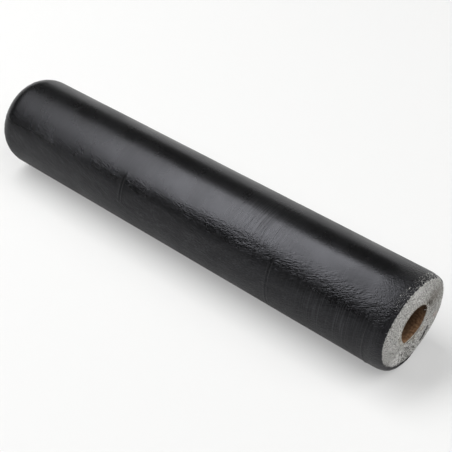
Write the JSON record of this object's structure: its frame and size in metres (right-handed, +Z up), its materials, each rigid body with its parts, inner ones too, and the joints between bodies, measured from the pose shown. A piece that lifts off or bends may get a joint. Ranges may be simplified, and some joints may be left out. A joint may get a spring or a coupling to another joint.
{
  "type": "roll of roofing felt",
  "caption": "Roll of pale felt sheet wound on a board tube and wrapped in glossy black film, lying on its side, with open ends and a clear bore for a spindle or lifting bar.",
  "frame": {"origin": "on the floor under the middle of the roll", "axes": "+X along the roll's axis towards the end that the picture shows, +Z up, +Y away from the picture's camera"},
  "size_m": [1, 0.1956, 0.1955],
  "materials": {
    "felt": "matt needled fibre with a dusty cut edge",
    "board": "matt spiral-wound brown board",
    "film": "glossy stretched film with fine creases round the roll"
  },
  "bodies": {
    "root": {"felt_roll": "felt", "core_tube": "board", "film_wrap": "film"}
  },
  "joints": []
}
